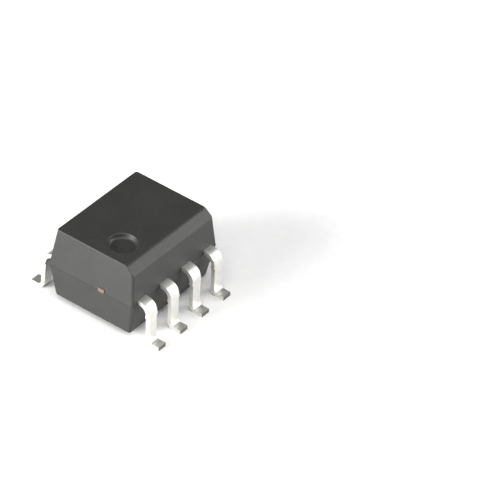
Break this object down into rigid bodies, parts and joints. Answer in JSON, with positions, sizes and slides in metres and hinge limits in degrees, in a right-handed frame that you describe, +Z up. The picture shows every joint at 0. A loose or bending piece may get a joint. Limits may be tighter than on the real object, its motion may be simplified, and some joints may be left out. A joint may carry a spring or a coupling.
{
  "type": "optocoupler chip",
  "caption": "Small surface-mount optocoupler: tall black moulded body with a long bevel, a pin 1 dimple and two rows of bright gull-wing leads.",
  "frame": {"origin": "on the seating plane, under the middle of the part", "axes": "+Z up, +X along the lead rows from the pin 1 end to the pin 4 end, +Y from the side of pins 1 to 4 to the side of pins 5 to 8"},
  "size_m": [0.005, 0.0058, 0.0032],
  "materials": {
    "black_epoxy": "matte, fine spark-eroded texture",
    "white_epoxy": "matte",
    "clear_silicone": "clear",
    "tin_plating": "satin tin plating",
    "cut_copper": "sheared copper alloy",
    "led_crystal": "smooth",
    "silver_epoxy": "satin",
    "silicon": "polished",
    "gold": "polished"
  },
  "bodies": {
    "root": {"molded_body": "black_epoxy", "inner_mold": "white_epoxy", "light_dome": "clear_silicone", "lead_1": "tin_plating", "lead_2": "tin_plating", "lead_3": "tin_plating", "lead_4": "tin_plating", "lead_5": "tin_plating", "lead_6": "tin_plating", "lead_7": "tin_plating", "lead_8": "tin_plating", "tie_bar_near": "cut_copper", "tie_bar_far": "cut_copper", "led_chip": "led_crystal", "led_attach": "silver_epoxy", "detector_chip": "silicon", "detector_attach": "silver_epoxy", "led_wire": "gold", "emitter_wire": "gold", "base_wire": "gold"}
  },
  "joints": []
}
